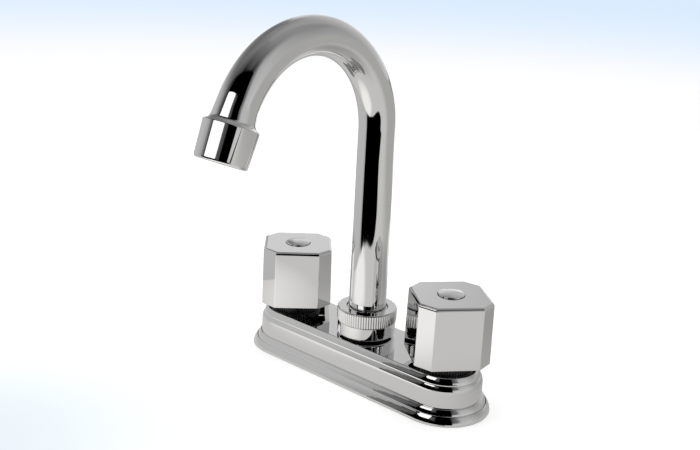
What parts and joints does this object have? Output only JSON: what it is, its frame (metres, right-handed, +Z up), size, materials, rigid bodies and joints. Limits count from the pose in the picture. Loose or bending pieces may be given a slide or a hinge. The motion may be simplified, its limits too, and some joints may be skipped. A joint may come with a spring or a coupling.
{
  "type": "basin mixer tap",
  "caption": "Centreset basin mixer tap with a stepped oblong base, octagonal hot and cold knobs and a swivelling gooseneck spout with an aerator.",
  "frame": {"origin": "middle of the foot, on the counter top that the tap stands on", "axes": "+Z up, +X to the cold (right-hand) knob, the spout reaches along -Y at rest"},
  "size_m": [0.1478, 0.1323, 0.2289],
  "materials": {
    "chrome": "polished chrome plate",
    "brass": "machined brass, as cast on the barrels",
    "copper": "drawn copper tube",
    "rubber": "matt black rubber",
    "black_plastic": "moulded black plastic",
    "white_plastic": "moulded white acetal",
    "steel": "bright stainless steel"
  },
  "bodies": {
    "base": {"base_cover": "chrome", "deck_gasket": "rubber", "shank_washers": "rubber", "shank_nuts": "brass", "hot_valve_body": "brass", "cold_valve_body": "brass", "hot_cross_tube": "copper", "cold_cross_tube": "copper", "spout_hub": "brass", "hot_seat": "brass", "cold_seat": "brass", "hot_bonnet": "brass", "cold_bonnet": "brass", "hot_bonnet_gasket": "rubber", "cold_bonnet_gasket": "rubber", "hot_lock_ring": "black_plastic", "cold_lock_ring": "black_plastic", "spout_nut": "chrome", "spout_friction_ring": "white_plastic"},
    "hot_handle": {"hot_knob": "chrome", "hot_index_button": "chrome", "hot_knob_screw": "steel", "hot_spindle": "brass", "hot_spindle_rings": "rubber", "hot_spindle_clip": "steel"},
    "hot_jumper": {"hot_plunger": "brass", "hot_seat_washer": "rubber", "hot_washer_screw": "brass"},
    "cold_handle": {"cold_knob": "chrome", "cold_index_button": "chrome", "cold_knob_screw": "steel", "cold_spindle": "brass", "cold_spindle_rings": "rubber", "cold_spindle_clip": "steel"},
    "cold_jumper": {"cold_plunger": "brass", "cold_seat_washer": "rubber", "cold_washer_screw": "brass"},
    "spout": {"spout_tube": "chrome", "spout_collar": "chrome", "spout_rings": "rubber", "aerator_housing": "chrome", "aerator_washer": "rubber", "aerator_insert": "white_plastic", "aerator_screen": "steel"}
  },
  "joints": [
    {"name": "hot_turn", "type": "hinge", "parent": "base", "child": "hot_handle", "pos_m": [-0.0508, 0, 0.03], "axis": [0, 0, 1], "range_deg": [0, 720]},
    {"name": "hot_lift", "type": "slide", "parent": "base", "child": "hot_jumper", "axis": [0, 0, 1], "range_m": [0, 0.00355]},
    {"name": "cold_turn", "type": "hinge", "parent": "base", "child": "cold_handle", "pos_m": [0.0508, 0, 0.03], "axis": [0, 0, 1], "range_deg": [0, 720]},
    {"name": "cold_lift", "type": "slide", "parent": "base", "child": "cold_jumper", "axis": [0, 0, 1], "range_m": [0, 0.00355]},
    {"name": "spout_swivel", "type": "hinge", "parent": "base", "child": "spout", "pos_m": [0, 0, 0.03], "axis": [0, 0, 1], "continuous": true}
  ],
  "couplings": [
    {"joint": "hot_lift", "follows": "hot_turn", "m_per_rad": 0.00027852},
    {"joint": "cold_lift", "follows": "cold_turn", "m_per_rad": 0.00027852}
  ]
}
